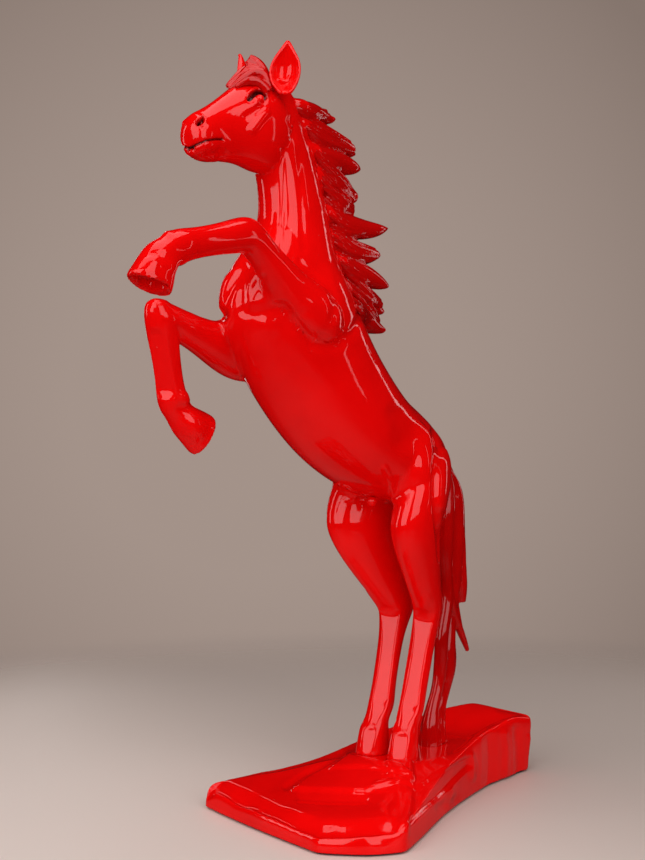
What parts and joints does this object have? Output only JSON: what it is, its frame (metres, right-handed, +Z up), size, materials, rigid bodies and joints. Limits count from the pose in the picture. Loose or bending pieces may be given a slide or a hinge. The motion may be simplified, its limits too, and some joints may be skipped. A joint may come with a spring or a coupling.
{
  "type": "rearing horse statue",
  "caption": "Rearing horse in glossy red lacquer on a rock slab, standing on its hind hooves and the end of its tail, with hollow castings on a bent steel frame.",
  "frame": {"origin": "centre of the felt underside, on the surface that the rock stands on", "axes": "+Z up; the horse faces -Y and its left side is +X"},
  "size_m": [0.292, 0.7099, 0.8966],
  "materials": {
    "lacquer": "high gloss lacquer",
    "rod_steel": "drawn steel rod",
    "zinc_steel": "zinc plated",
    "plywood": "raw plywood",
    "iron": "rough cast",
    "felt": "wool felt"
  },
  "bodies": {
    "root": {"body_left_shell": "lacquer", "body_right_shell": "lacquer", "head_shell": "lacquer", "left_ear": "lacquer", "right_ear": "lacquer", "forelock": "lacquer", "mane": "lacquer", "left_foreleg": "lacquer", "right_foreleg": "lacquer", "left_hind_leg": "lacquer", "right_hind_leg": "lacquer", "tail": "lacquer", "rock_base": "lacquer", "left_leg_rod": "rod_steel", "right_leg_rod": "rod_steel", "tail_rod": "rod_steel", "spine_rod": "rod_steel", "left_foreleg_rod": "rod_steel", "right_foreleg_rod": "rod_steel", "hip_crossbar": "rod_steel", "shoulder_crossbar": "rod_steel", "anchor_plate": "zinc_steel", "anchor_washers": "zinc_steel", "anchor_nuts": "zinc_steel", "board_screws": "zinc_steel", "loin_former": "plywood", "shoulder_former": "plywood", "neck_former": "plywood", "base_board": "plywood", "fixing_blocks": "plywood", "ballast_block": "iron", "felt_sheet": "felt"}
  },
  "joints": []
}
